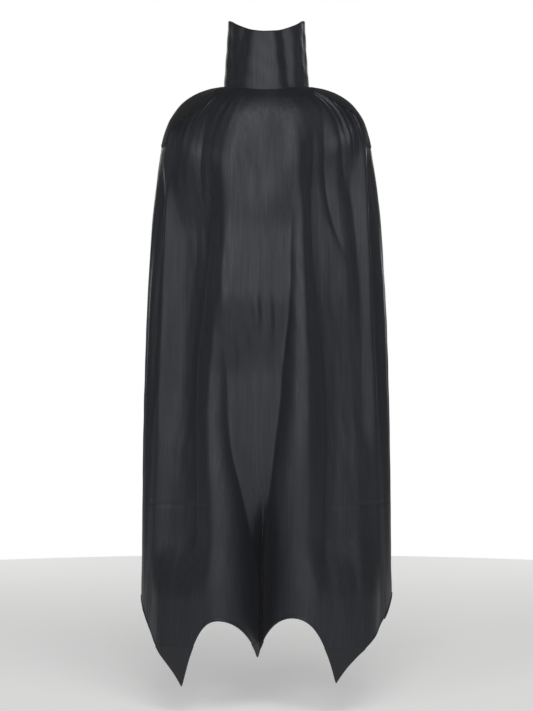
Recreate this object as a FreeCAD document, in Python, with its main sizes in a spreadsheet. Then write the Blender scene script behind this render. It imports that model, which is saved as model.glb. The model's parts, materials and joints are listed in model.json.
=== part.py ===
import FreeCAD, Part

import math
import os

import Sketcher

# An adult cape with a stand-up collar, open at the front, hanging from its shoulders.
# Millimetres. Z is up, Y is the way the wearer faces, and the origin is the middle of the
# neck opening, level with the neck seam at centre back.

LEVELS = ("neck", "yoke", "shoulder", "chest", "waist", "knee", "hem")
FRONT_LEVELS = ("bust", "rib", "waist", "knee", "hem")
YOKE_LEVELS = ("centre", "collar", "inner", "middle", "outer", "tip")

SIZES = {
    # every drape level: its height, the side seam's place, how far back the centre hangs
    "neck_level": -3, "neck_seam_x": 98, "neck_seam_y": -42, "neck_back": -80,
    "yoke_level": -20, "yoke_seam_x": 140, "yoke_seam_y": -42, "yoke_back": -94,
    "shoulder_level": -72, "shoulder_seam_x": 194, "shoulder_seam_y": -52, "shoulder_back": -117,
    "chest_level": -145, "chest_seam_x": 215, "chest_seam_y": -58, "chest_back": -136,
    "waist_level": -410, "waist_seam_x": 226, "waist_seam_y": -56, "waist_back": -158,
    "knee_level": -810, "knee_seam_x": 242, "knee_seam_y": -53, "knee_back": -180,
    "hem_level": -1286, "hem_seam_x": 262, "hem_seam_y": -50, "hem_back": -195,
    # front panels: two levels of their own, the widest point of the side and the front edge
    "bust_level": -124, "bust_seam_x": 214, "bust_seam_y": -58,
    "rib_level": -250, "rib_seam_x": 219.4, "rib_seam_y": -57,
    "bust_side_x": 229, "bust_side_y": 4, "bust_edge_x": 34, "bust_edge_y": 112,
    "rib_side_x": 248, "rib_side_y": 22, "rib_edge_x": 56, "rib_edge_y": 124,
    "waist_side_x": 259, "waist_side_y": 28, "waist_edge_x": 78, "waist_edge_y": 134,
    "knee_side_x": 271, "knee_side_y": 28, "knee_edge_x": 100, "knee_edge_y": 142,
    "hem_side_x": 277, "hem_side_y": 16, "hem_edge_x": 114, "hem_edge_y": 146,
    "seam_gap": 4,
    # shoulder yokes, in sections across the shoulder: back end, ridge, front end
    "centre_x": 20, "centre_back_y": 30, "centre_back_z": 8,
    "centre_ridge_y": 86, "centre_ridge_z": -34, "centre_front_y": 110, "centre_front_z": -114,
    "collar_x": 62, "collar_back_y": 12, "collar_back_z": 10,
    "collar_ridge_y": 74, "collar_ridge_z": -30, "collar_front_y": 107, "collar_front_z": -114,
    "inner_x": 104, "inner_back_y": -36, "inner_back_z": 0,
    "inner_ridge_y": 26, "inner_ridge_z": 5, "inner_front_y": 98, "inner_front_z": -114,
    "middle_x": 150, "middle_back_y": -34, "middle_back_z": -20,
    "middle_ridge_y": 24, "middle_ridge_z": -4, "middle_front_y": 88, "middle_front_z": -114,
    "outer_x": 190, "outer_back_y": -40, "outer_back_z": -58,
    "outer_ridge_y": 14, "outer_ridge_z": -30, "outer_front_y": 74, "outer_front_z": -114,
    "tip_x": 217, "tip_back_y": -46, "tip_back_z": -96,
    "tip_ridge_y": 6, "tip_ridge_z": -72, "tip_front_y": 54, "tip_front_z": -114,
    "neck_hole_x": 98, "neck_hole_y": 80,
    # cloth, doubled and stiffened as one thickness, and the gaps between its layers
    "cloth": 2.5, "yoke_cloth": 3, "facing": 1.5, "layer_gap": 0.5,
    # hem: the outer curve down to each side point, and the arches between the points
    "side_hem_x": 277, "side_hem_z": -1100, "curve_x": 241, "curve_z": -1186,
    "point_x": 172, "point_z": -1284, "centre_point_z": -1214,
    "flank_x": 139, "flank_z": -1187, "crown_x": 84, "crown_z": -1132,
    "neck_of_point_x": 38, "neck_of_point_z": -1160,
    "facing_top": -1190, "facing_half": 62, "centre_facing_top": -1168, "centre_facing_half": 26,
    # collar: half widths at its base and at its top, heights of the corners and of the dip
    "collar_base_x": 93.5, "collar_base_y": 76, "collar_top_x": 83, "collar_top_y": 72,
    "collar_top": 170, "corner": 157, "dip": 124, "satin": 0.8, "buckram": 0.8, "lining": 0.6,
    "collar_gap": 0.3, "overlap": 22, "collar_split": 5, "end_offset": 5.6, "end_low": 10,
    # closure, neck binding, hanger loop and care label
    "tape": 0.8, "tape_half": 15, "tape_low": 14, "tape_high": 96,
    "binding_low": -7, "binding_high": 9, "binding": 0.8, "front_gap": 30,
    "loop_radius": 22, "loop_width": 5, "loop_cloth": 1.2, "loop_y": -64, "loop_z": -6,
    "label_width": 34, "label_drop": 46, "label_cloth": 0.8, "label_y": -67.5, "label_z": -10,
    "beyond": 400,
}

doc = FreeCAD.newDocument("SuperheroCape")
sheet = doc.addObject("Spreadsheet::Sheet", "Sizes")


def fill_sheet():
    for row, (word, number) in enumerate(SIZES.items(), start=1):
        sheet.set(f"A{row}", word)
        sheet.set(f"B{row}", str(number))
        sheet.setAlias(f"B{row}", word)
    doc.recompute()


def cell(word):
    """An expression that reads one cell of the sheet."""
    return f"Sizes.{word}"


def number(expression):
    return float(sheet.evalExpression(expression.replace("Sizes.", "")))


def new_body(label):
    body = doc.addObject("PartDesign::Body", label)
    body.Label = label
    body.Placement = FreeCAD.Placement()
    return body


def new_sketch(body, name, role, offset=None):
    """A sketch on one of the body's own origin planes, moved along its normal."""
    sketch = body.newObject("Sketcher::SketchObject", f"{body.Name}_{name}")
    plane = next(f for f in body.Origin.OriginFeatures if f.Role == role)
    sketch.AttachmentSupport = [(plane, "")]
    sketch.MapMode = "FlatFace"
    if offset:
        sketch.setExpression("AttachmentOffset.Base.z", offset)
    return sketch


def place(sketch, geometry, end, across, up):
    """Dimensions a point from the sketch's origin. A zero puts it on the axis."""
    for kind, axis, expression in (("DistanceX", -2, across), ("DistanceY", -1, up)):
        if expression == "0":
            sketch.addConstraint(Sketcher.Constraint("PointOnObject", geometry, end, axis))
            continue
        size = number(expression)
        index = sketch.addConstraint(Sketcher.Constraint(kind, -1, 1, geometry, end, size))
        sketch.setExpression(f"Constraints[{index}]", expression)


def join(sketch, first, first_end, second, second_end):
    sketch.addConstraint(Sketcher.Constraint("Coincident", first, first_end, second, second_end))


def angle_about(centre, point):
    return math.atan2(point.y - centre.y, point.x - centre.x)


def band(sketch, start, through, end, thickness, inset="0"):
    """A thin strip of cloth in section: an arc through three points, counterclockwise, and a
    second arc inside it. inset moves both inwards, for a layer that lies behind another."""
    points = [FreeCAD.Vector(number(x), number(y), 0) for x, y in (start, through, end)]
    circle = Part.Circle(*points)
    centre = circle.Center
    first = angle_about(centre, points[0])
    last = angle_about(centre, points[2])
    last += 2 * math.pi if last < first else 0
    radii = [circle.Radius, circle.Radius - number(inset)]
    radii.append(radii[1] - number(thickness))
    up = FreeCAD.Vector(0, 0, 1)
    arcs = [Part.ArcOfCircle(Part.Circle(centre, up, radius), first, last) for radius in radii]
    guide, outer, inner = (sketch.addGeometry(arc, index == 0) for index, arc in enumerate(arcs))
    for angle, order in ((first, 1), (last, 2)):
        along = FreeCAD.Vector(math.cos(angle), math.sin(angle), 0)
        line = Part.LineSegment(centre + along * radii[1], centre + along * radii[2])
        side = sketch.addGeometry(line, False)
        join(sketch, side, 1, outer, order)
        join(sketch, side, 2, inner, order)
        sketch.addConstraint(Sketcher.Constraint("PointOnObject", guide, 3, side))
        sketch.addConstraint(Sketcher.Constraint("PointOnObject", guide, order, side))
    join(sketch, guide, 3, outer, 3)
    join(sketch, guide, 3, inner, 3)
    middle = sketch.addGeometry(Part.Point(points[1]), True)
    place(sketch, middle, 1, *through)
    sketch.addConstraint(Sketcher.Constraint("PointOnObject", middle, 1, guide))
    place(sketch, guide, 1, *start)
    place(sketch, guide, 2, *end)
    radius = radius_expression(start, through, end)
    depths = (inset, f"{inset} + {thickness}")
    for geometry, difference, size in zip((outer, inner), depths, radii[1:]):
        index = sketch.addConstraint(Sketcher.Constraint("Radius", geometry, size))
        sketch.setExpression(f"Constraints[{index}]", f"({radius}) - ({difference})")


def radius_expression(start, through, end):
    """The radius of the circle through three points, as an expression on the sheet."""
    (ax, ay), (bx, by), (cx, cy) = start, through, end
    side_a = f"sqrt((({bx}) - ({cx}))^2 + (({by}) - ({cy}))^2)"
    side_b = f"sqrt((({ax}) - ({cx}))^2 + (({ay}) - ({cy}))^2)"
    side_c = f"sqrt((({ax}) - ({bx}))^2 + (({ay}) - ({by}))^2)"
    area = f"abs((({bx}) - ({ax})) * (({cy}) - ({ay})) - (({cx}) - ({ax})) * (({by}) - ({ay})))"
    return f"{side_a} * {side_b} * {side_c} / (2 * {area})"


def loft(body, name, sketches, kind="AdditiveLoft"):
    feature = body.newObject(f"PartDesign::{kind}", f"{body.Name}_{name}")
    feature.Profile = sketches[0]
    feature.Sections = sketches[1:]
    return feature


def pocket_through(body, sketch, name):
    """Cuts the sketch right through, both ways."""
    cut = body.newObject("PartDesign::Pocket", f"{body.Name}_{name}")
    cut.Profile = sketch
    cut.Type = 0
    cut.SideType = "Symmetric"
    cut.setExpression("Length", f"4 * {cell('beyond')}")
    doc.recompute()
    return cut


def polygon(sketch, corners):
    """A closed run of straight lines through dimensioned corners."""
    points = [FreeCAD.Vector(number(x), number(y), 0) for x, y in corners]
    lines = []
    for index, point in enumerate(points):
        after = points[(index + 1) % len(points)]
        lines.append(sketch.addGeometry(Part.LineSegment(point, after), False))
    for index, line in enumerate(lines):
        join(sketch, line, 2, lines[(index + 1) % len(lines)], 1)
        place(sketch, line, 1, *corners[index])


def keep_inside(body, name, role, corners):
    """Cuts away everything outside a polygon drawn on an origin plane."""
    sketch = new_sketch(body, name, role)
    far = f"4 * {cell('beyond')}"
    polygon(sketch, [(f"-{far}", f"-{far}"), (far, f"-{far}"), (far, far), (f"-{far}", far)])
    polygon(sketch, corners)
    return pocket_through(body, sketch, f"{name}_cut")


def arc_through(sketch, start, through, end):
    """An arc through three dimensioned points. Gives its number and which end is the start."""
    a, b, c = (FreeCAD.Vector(number(x), number(y), 0) for x, y in (start, through, end))
    circle = Part.Circle(a, b, c)
    turns_left = (b - a).cross(c - b).z > 0
    first, last = (a, c) if turns_left else (c, a)
    begin = angle_about(circle.Center, first)
    finish = angle_about(circle.Center, last)
    finish += 2 * math.pi if finish < begin else 0
    up = FreeCAD.Vector(0, 0, 1)
    full = Part.Circle(circle.Center, up, circle.Radius)
    arc = sketch.addGeometry(Part.ArcOfCircle(full, begin, finish), False)
    middle = sketch.addGeometry(Part.Point(b), True)
    place(sketch, middle, 1, *through)
    sketch.addConstraint(Sketcher.Constraint("PointOnObject", middle, 1, arc))
    start_end = 1 if turns_left else 2
    place(sketch, arc, start_end, *start)
    return arc, start_end, 3 - start_end


def mirrored(point):
    across, up = point
    return (across, up) if across == "0" else (f"-{across}", up)


def cut_hem(body):
    """The scalloped hem: an outer curve down to each side point, and two arches between them."""
    sketch = new_sketch(body, "hem_line", "XZ_Plane")
    side, low = cell("side_hem_x"), cell("side_hem_z")
    curve_x, curve_z = cell("curve_x"), cell("curve_z")
    point_x, point_z = cell("point_x"), cell("point_z")
    crown = (cell("crown_x"), cell("crown_z"))
    middle = ("0", cell("centre_point_z"))
    right = [
        (middle, (cell("neck_of_point_x"), cell("neck_of_point_z")), crown),
        (crown, (cell("flank_x"), cell("flank_z")), (point_x, point_z)),
        ((point_x, point_z), (curve_x, curve_z), (side, low)),
    ]
    left = [tuple(mirrored(point) for point in reversed(run)) for run in reversed(right)]
    runs = left + right
    arcs = [arc_through(sketch, *run) for run in runs]
    for (arc, _, end), (after, begin, _) in zip(arcs, arcs[1:]):
        join(sketch, arc, end, after, begin)
    far, bottom = cell("beyond"), f"-5 * {cell('beyond')}"
    corners = [(side, low), (far, low), (far, bottom), (f"-{far}", bottom), (f"-{far}", low)]
    points = [FreeCAD.Vector(number(x), number(y), 0) for x, y in corners]
    points.append(FreeCAD.Vector(-number(side), number(low), 0))
    lines = [sketch.addGeometry(Part.LineSegment(a, b), False) for a, b in zip(points, points[1:])]
    join(sketch, arcs[-1][0], arcs[-1][2], lines[0], 1)
    for line, after, corner in zip(lines, lines[1:], corners[1:]):
        join(sketch, line, 2, after, 1)
        place(sketch, line, 2, *corner)
    join(sketch, lines[-1], 2, arcs[0][0], arcs[0][1])
    place(sketch, arcs[-1][0], arcs[-1][2], side, low)
    return pocket_through(body, sketch, "hem_cut")


def back_band(body, inset="0", thickness=cell("cloth")):
    sketches = []
    for level in LEVELS:
        sketch = new_sketch(body, level, "XY_Plane", cell(f"{level}_level"))
        x, y = cell(f"{level}_seam_x"), cell(f"{level}_seam_y")
        band(sketch, (f"-{x}", y), ("0", cell(f"{level}_back")), (x, y), thickness, inset)
        sketches.append(sketch)
    return loft(body, "drape", sketches)


def front_band(body, side, inset="0", thickness=cell("cloth")):
    """side is -1 for the wearer's left and 1 for the right. The band starts at the side seam,
    with a gap beside the back panel, and ends at the open front edge."""
    gap = cell("seam_gap")
    sign = "-" if side < 0 else ""
    sketches = []
    for level in FRONT_LEVELS:
        sketch = new_sketch(body, level, "XY_Plane", cell(f"{level}_level"))
        seam_x = f"({cell(f'{level}_seam_x')} + {gap} / 4)"
        seam = (f"{sign}{seam_x}", f"{cell(f'{level}_seam_y')} + {gap}")
        widest = (f"{sign}{cell(f'{level}_side_x')}", cell(f"{level}_side_y"))
        edge = (f"{sign}{cell(f'{level}_edge_x')}", cell(f"{level}_edge_y"))
        run = (edge, widest, seam) if side < 0 else (seam, widest, edge)
        band(sketch, *run, thickness, inset)
        sketches.append(sketch)
    return loft(body, "drape", sketches)


def back_panel():
    body = new_body("back_panel")
    back_band(body)
    cut_hem(body)


def front_panel(label, side):
    body = new_body(label)
    front_band(body, side)
    cut_hem(body)


def facing_window(centre, half, top):
    bottom = f"-3.5 * {cell('beyond')}"
    left, right = f"{centre} - {half}", f"{centre} + {half}"
    return [(left, bottom), (right, bottom), (right, top), (left, top)]


def behind_cloth():
    return f"{cell('cloth')} + {cell('layer_gap')}"


def back_facing(label, centre, half, top):
    """The turned facing behind one point of the hem."""
    body = new_body(label)
    back_band(body, behind_cloth(), cell("facing"))
    keep_inside(body, "window", "XZ_Plane", facing_window(centre, half, top))
    cut_hem(body)


def front_facing(label, side):
    body = new_body(label)
    front_band(body, side, behind_cloth(), cell("facing"))
    centre = f"-{cell('point_x')}" if side < 0 else cell("point_x")
    window = facing_window(centre, cell("facing_half"), cell("facing_top"))
    keep_inside(body, "window", "XZ_Plane", window)
    cut_hem(body)


def shoulder_yoke(label, side):
    """An arched piece over the shoulder, in sections from the neck outwards."""
    body = new_body(label)
    sign = "-" if side < 0 else ""
    sketches = []
    for level in YOKE_LEVELS:
        sketch = new_sketch(body, level, "YZ_Plane", f"{sign}{cell(f'{level}_x')}")
        ends = [
            (cell(f"{level}_{part}_y"), cell(f"{level}_{part}_z"))
            for part in ("front", "ridge", "back")
        ]
        band(sketch, *ends, cell("yoke_cloth"))
        sketches.append(sketch)
    loft(body, "shoulder", sketches)
    doc.recompute()
    hole = new_sketch(body, "neck_hole", "XY_Plane")
    ellipse(hole, cell("neck_hole_x"), cell("neck_hole_y"))
    pocket_through(body, hole, "neck_cut")


def ellipse(sketch, half_x, half_y):
    size_x, size_y = number(half_x), number(half_y)
    shape = Part.Ellipse(FreeCAD.Vector(), size_x, size_y)
    outline = sketch.addGeometry(shape, False)
    sketch.exposeInternalGeometry(outline)
    join(sketch, outline, 3, -1, 1)
    major, minor = outline + 1, outline + 2
    sketch.addConstraint(Sketcher.Constraint("PointOnObject", major, 1, -1))
    for axis, size, expression in ((major, size_x, half_x), (minor, size_y, half_y)):
        index = sketch.addConstraint(Sketcher.Constraint("Distance", axis, 2 * size))
        sketch.setExpression(f"Constraints[{index}]", f"2 * ({expression})")


def ring(body, inset, thickness, low="0", high=cell("collar_top")):
    """A closed oval wall that narrows upwards, inset from the collar's outer surface."""
    for name, depth, kind in (
        ("wall", inset, "AdditiveLoft"),
        ("hollow", f"{inset} + {thickness}", "SubtractiveLoft"),
    ):
        sketches = []
        for end, height in (("low", low), ("high", high)):
            rise = f"({height}) / {cell('collar_top')}"
            sketch = new_sketch(body, f"{name}_{end}", "XY_Plane", height)
            halves = []
            for way in ("x", "y"):
                base, top = cell(f"collar_base_{way}"), cell(f"collar_top_{way}")
                halves.append(f"{base} + ({top} - {base}) * {rise} - ({depth})")
            ellipse(sketch, *halves)
            sketches.append(sketch)
        loft(body, name, sketches, kind)
    doc.recompute()


def cut_dip(body):
    """The collar's top edge dips in the middle, at the back and at the front, and so leaves a
    sharp corner at each side."""
    sketch = new_sketch(body, "top_edge", "XZ_Plane")
    far, high = cell("beyond"), f"2 * {cell('beyond')}"
    side, corner = cell("collar_top_x"), cell("corner")
    run = ((f"-{side}", corner), ("0", cell("dip")), (side, corner))
    arc, begin, end = arc_through(sketch, *run)
    place(sketch, arc, end, side, corner)
    corners = [(side, corner), (far, corner), (far, high), (f"-{far}", high), (f"-{far}", corner)]
    points = [FreeCAD.Vector(number(x), number(y), 0) for x, y in corners]
    points.append(FreeCAD.Vector(-number(side), number(corner), 0))
    lines = [sketch.addGeometry(Part.LineSegment(a, b), False) for a, b in zip(points, points[1:])]
    join(sketch, arc, end, lines[0], 1)
    for line, after, point in zip(lines, lines[1:], corners[1:]):
        join(sketch, line, 2, after, 1)
        place(sketch, line, 2, *point)
    join(sketch, lines[-1], 2, arc, begin)
    return pocket_through(body, sketch, "dip_cut")


def standing_part():
    """In plan, all of the collar but its overlapping end: it stops just past centre front."""
    far, lap = cell("beyond"), cell("overlap")
    right_back = [(f"-{far}", f"-{far}"), (far, f"-{far}"), (far, "0")]
    return right_back + [(lap, "0"), (lap, far), (f"-{far}", far)]


def overlapping_end():
    """In plan, the collar's end that crosses centre front on top of the standing part."""
    far, split, lap = cell("beyond"), cell("collar_split"), cell("overlap")
    return [(f"-{lap}", split), (far, split), (far, far), (f"-{lap}", far)]


def collar_layers():
    gap = cell("collar_gap")
    layers = (("outer", "satin"), ("interlining", "buckram"), ("lining", "lining"))
    depth = "0"
    for name, cloth in layers:
        end_depth = f"{depth} - {cell('end_offset')}"
        for label, start, low, window in (
            (f"collar_{name}", depth, "0", standing_part()),
            (f"collar_end_{name}", end_depth, cell("end_low"), overlapping_end()),
        ):
            body = new_body(label)
            ring(body, start, cell(cloth), low)
            cut_dip(body)
            keep_inside(body, "plan", "XY_Plane", window)
        depth = f"{depth} + {cell(cloth)} + {gap}"


def closure_tapes():
    """Hook-and-loop tape: the loop side on the standing collar, the hook side facing it."""
    gap, tape = cell("collar_gap"), cell("tape")
    half, low, high = cell("tape_half"), cell("tape_low"), cell("tape_high")
    far = cell("beyond")
    for label, inset in (
        ("closure_loop_tape", f"-{gap} - {tape}"),
        ("closure_hook_tape", f"-2 * {gap} - 2 * {tape}"),
    ):
        body = new_body(label)
        ring(body, inset, tape)
        plan = [(f"-{half}", "0"), (half, "0"), (half, far), (f"-{half}", far)]
        keep_inside(body, "plan", "XY_Plane", plan)
        rise = [(f"-{far}", low), (far, low), (far, high), (f"-{far}", high)]
        keep_inside(body, "rise", "XZ_Plane", rise)


def neck_binding():
    """Tape over the neck seam, inside the collar, open at the front."""
    body = new_body("neck_binding")
    gap = cell("collar_gap")
    layers = f"{cell('satin')} + {cell('buckram')} + {cell('lining')} + 3 * {gap}"
    ring(body, layers, cell("binding"), cell("binding_low"), cell("binding_high"))
    far, front = cell("beyond"), cell("front_gap")
    plan = [
        (f"-{far}", f"-{far}"), (far, f"-{far}"), (far, far), (front, far),
        (front, "0"), (f"-{front}", "0"), (f"-{front}", far), (f"-{far}", far),
    ]
    keep_inside(body, "plan", "XY_Plane", plan)


def pad(body, sketch, thickness):
    feature = body.newObject("PartDesign::Pad", f"{body.Name}_pad")
    feature.Profile = sketch
    feature.setExpression("Length", thickness)
    doc.recompute()
    return feature


def hanger_loop():
    """A narrow ribbon that hangs in a bow from the neck seam."""
    body = new_body("hanger_loop")
    sketch = new_sketch(body, "ribbon", "XZ_Plane", f"-({cell('loop_y')})")
    radius, width, top = cell("loop_radius"), cell("loop_width"), cell("loop_z")
    far_side = (f"{radius}", top)
    outer = arc_through(sketch, (f"-{radius}", top), ("0", f"{top} - {radius}"), far_side)
    place(sketch, outer[0], outer[2], *far_side)
    inside = f"({radius} - {width})"
    near_side = (inside, top)
    inner = arc_through(sketch, (f"-{inside}", top), ("0", f"{top} - {inside}"), near_side)
    place(sketch, inner[0], inner[2], *near_side)
    for sign, end in ((-1, 1), (1, 2)):
        a = FreeCAD.Vector(sign * number(radius), number(top), 0)
        b = FreeCAD.Vector(sign * number(inside), number(top), 0)
        line = sketch.addGeometry(Part.LineSegment(a, b), False)
        join(sketch, line, 1, outer[0], outer[end])
        join(sketch, line, 2, inner[0], inner[end])
    pad(body, sketch, cell("loop_cloth"))


def care_label():
    """A blank label that hangs behind the hanger loop."""
    body = new_body("care_label")
    sketch = new_sketch(body, "outline", "XZ_Plane", f"-({cell('label_y')})")
    half, top, drop = f"{cell('label_width')} / 2", cell("label_z"), cell("label_drop")
    bottom = f"{top} - {drop}"
    polygon(sketch, [(f"-{half}", bottom), (half, bottom), (half, top), (f"-{half}", top)])
    pad(body, sketch, cell("label_cloth"))


def check_and_write():
    doc.recompute()
    for item in doc.Objects:
        bad = [state for state in item.State if state in ("Invalid", "Error")]
        if bad:
            raise RuntimeError(f"{item.Name}: {bad}")
    os.makedirs("parts", exist_ok=True)
    for body in doc.findObjects("PartDesign::Body"):
        shape = body.Shape
        if shape.isNull() or not shape.isValid() or not shape.Solids:
            raise RuntimeError(f"{body.Label}: no valid solid")
        shape.exportStep(f"parts/{body.Label}.step")
        box = shape.optimalBoundingBox(False)
        print(f"{body.Label:26s} {len(shape.Solids)} solid {shape.Volume / 1000:9.2f} cm3"
              f"  x {box.XMin:7.1f} {box.XMax:7.1f}  y {box.YMin:7.1f} {box.YMax:7.1f}"
              f"  z {box.ZMin:8.1f} {box.ZMax:7.1f}")


fill_sheet()
back_panel()
front_panel("left_front_panel", -1)
front_panel("right_front_panel", 1)
shoulder_yoke("left_shoulder_yoke", -1)
shoulder_yoke("right_shoulder_yoke", 1)
collar_layers()
closure_tapes()
neck_binding()
back_facing("left_tip_facing", f"-{cell('point_x')}", cell("facing_half"), cell("facing_top"))
back_facing("centre_tip_facing", "0", cell("centre_facing_half"), cell("centre_facing_top"))
back_facing("right_tip_facing", cell("point_x"), cell("facing_half"), cell("facing_top"))
front_facing("left_front_tip_facing", -1)
front_facing("right_front_tip_facing", 1)
hanger_loop()
care_label()
check_and_write()
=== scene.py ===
import json
import math
import bpy
import numpy as np
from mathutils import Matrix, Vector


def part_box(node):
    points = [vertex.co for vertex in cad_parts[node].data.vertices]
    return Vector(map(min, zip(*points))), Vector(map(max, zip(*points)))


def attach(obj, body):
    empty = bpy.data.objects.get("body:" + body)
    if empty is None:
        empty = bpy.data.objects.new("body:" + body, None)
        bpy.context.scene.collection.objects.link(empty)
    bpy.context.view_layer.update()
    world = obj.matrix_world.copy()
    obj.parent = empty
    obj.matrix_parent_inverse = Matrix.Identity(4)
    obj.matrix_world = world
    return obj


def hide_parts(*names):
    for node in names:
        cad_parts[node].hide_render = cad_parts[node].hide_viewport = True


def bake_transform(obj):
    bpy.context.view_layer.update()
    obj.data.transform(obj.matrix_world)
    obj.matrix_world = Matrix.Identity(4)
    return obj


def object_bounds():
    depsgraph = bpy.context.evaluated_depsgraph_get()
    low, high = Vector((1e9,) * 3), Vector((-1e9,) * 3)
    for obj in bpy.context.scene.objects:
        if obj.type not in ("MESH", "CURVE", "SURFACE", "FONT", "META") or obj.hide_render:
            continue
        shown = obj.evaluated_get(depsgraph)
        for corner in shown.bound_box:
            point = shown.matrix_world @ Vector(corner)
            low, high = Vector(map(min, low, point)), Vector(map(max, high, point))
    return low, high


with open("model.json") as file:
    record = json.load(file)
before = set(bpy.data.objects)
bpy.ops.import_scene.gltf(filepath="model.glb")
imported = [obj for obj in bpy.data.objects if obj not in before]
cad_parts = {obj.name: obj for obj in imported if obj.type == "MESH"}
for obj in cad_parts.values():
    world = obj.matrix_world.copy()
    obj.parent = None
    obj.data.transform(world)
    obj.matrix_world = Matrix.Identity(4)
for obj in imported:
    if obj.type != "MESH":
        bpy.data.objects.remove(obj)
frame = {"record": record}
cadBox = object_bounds()
record = frame["record"]
print("frame loaded")

# The garment's own size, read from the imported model. The cloth is laid out as shares of it.
halfWidth = float(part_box("right_front_panel")[1][0])
length = -float(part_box("back_panel")[0][2])
backDepth = -float(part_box("back_panel")[0][1])
frontDepth = float(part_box("left_front_panel")[1][1])
collarHalf = float(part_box("collar_outer")[1][0])
collarDeep = float(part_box("collar_outer")[1][1])
collarHigh = float(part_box("collar_outer")[1][2])
joints = {joint["name"]: joint for joint in record["behaviour"]["joints"]}
degree = math.pi / 180


def shade(hexColour):
    # sRGB hex to the linear colour that a shader wants
    parts = [int(hexColour[i:i + 2], 16) / 255 for i in (1, 3, 5)]
    return [p / 12.92 if p <= 0.04045 else ((p + 0.055) / 1.055) ** 2.4 for p in parts] + [1.0]


def addNode(tree, kind, links=None, **settings):
    # one shader node: plain settings by name, sockets by number or name, links as {socket: output}
    node = tree.nodes.new(kind)
    for name, value in settings.items():
        if name == "inputs":
            for socket, amount in value.items():
                node.inputs[socket].default_value = amount
        else:
            setattr(node, name, value)
    for socket, output in (links or {}).items():
        tree.links.new(output, node.inputs[socket])
    return node


def newMaterial(name, **sockets):
    material = bpy.data.materials.new(name)
    material.use_nodes = True
    shader = material.node_tree.nodes["Principled BSDF"]
    for socket, value in sockets.items():
        shader.inputs[socket].default_value = value
    return material, material.node_tree, shader


def colourRamp(tree, source, stops):
    ramp = addNode(tree, "ShaderNodeValToRGB", {0: source})
    band = ramp.color_ramp
    band.elements[0].position, band.elements[0].color = stops[0][0], shade(stops[0][1])
    band.elements[1].position, band.elements[1].color = stops[-1][0], shade(stops[-1][1])
    for place, colour in stops[1:-1]:
        band.elements.new(place).color = shade(colour)
    return ramp.outputs["Color"]


satin = {
    "dark": "#101115", "middle": "#18191e", "light": "#25262c",
    "slubSpacing": 0.0045,   # thick and thin yarns stand this far apart, drawn coarser than real
    "slubLength": 0.16,      # how far one thick yarn runs down the cloth
    "bands": (22.0, 22.0, 2.2),   # broad faint bands of shade, many across and few down
    "crinkle": 0.012,        # a quarter of the breadth of the faint crinkles in the finish
    "roughness": 0.48,
}


def polyesterSatin(name, tone=satin):
    # Woven polyester satin: long floating yarns give a soft broad gloss, and slubs run down it
    # as fine streaks
    material, tree, shader = newMaterial(
        name, **{"Roughness": tone["roughness"], "IOR": 1.5, "Specular IOR Level": 0.5,
                 "Specular Tint": (0.90, 0.94, 1.0, 1.0), "Sheen Weight": 0.05, "Sheen Roughness": 0.5})
    where = addNode(tree, "ShaderNodeTexCoord")
    across, down = 1 / tone["slubSpacing"], 1 / tone["slubLength"]
    stretched = addNode(tree, "ShaderNodeMapping", {0: where.outputs["Object"]},
                        inputs={"Scale": (across, across, down)})
    slubs = addNode(tree, "ShaderNodeTexNoise", {0: stretched.outputs[0]},
                    inputs={"Scale": 1.0, "Detail": 3.0, "Roughness": 0.62})
    broad = addNode(tree, "ShaderNodeMapping", {0: where.outputs["Object"]},
                    inputs={"Scale": tone["bands"]})
    bands = addNode(tree, "ShaderNodeTexNoise", {0: broad.outputs[0]},
                    inputs={"Scale": 1.0, "Detail": 2.0})
    mixed = addNode(tree, "ShaderNodeMix", {2: slubs.outputs[0], 3: bands.outputs[0]},
                    data_type="FLOAT", inputs={0: 0.35})
    colour = colourRamp(tree, mixed.outputs[0],
                        [(0.30, tone["dark"]), (0.5, tone["middle"]), (0.72, tone["light"])])
    tree.links.new(colour, shader.inputs["Base Color"])
    gloss = addNode(tree, "ShaderNodeMapRange", {0: slubs.outputs[0]},
                    inputs={1: 0.3, 2: 0.7, 3: tone["roughness"] + 0.05, 4: tone["roughness"] - 0.05})
    tree.links.new(gloss.outputs[0], shader.inputs["Roughness"])
    crinkle = addNode(tree, "ShaderNodeTexNoise", {0: where.outputs["Object"]},
                      inputs={"Scale": 1 / tone["crinkle"] / 4, "Detail": 4.0, "Roughness": 0.55})
    height = addNode(tree, "ShaderNodeMix", {2: crinkle.outputs[0], 3: slubs.outputs[0]},
                     data_type="FLOAT", inputs={0: 0.45})
    bump = addNode(tree, "ShaderNodeBump", {"Height": height.outputs[0]},
                   inputs={"Strength": 0.34, "Distance": 0.002})
    tree.links.new(bump.outputs[0], shader.inputs["Normal"])
    return material


knit = {
    "dark": "#0c0d0f", "light": "#17181b",
    "rib": 0.0032,           # knit ribs, drawn about twice their real spacing
    "roughness": 0.88,
}


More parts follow.
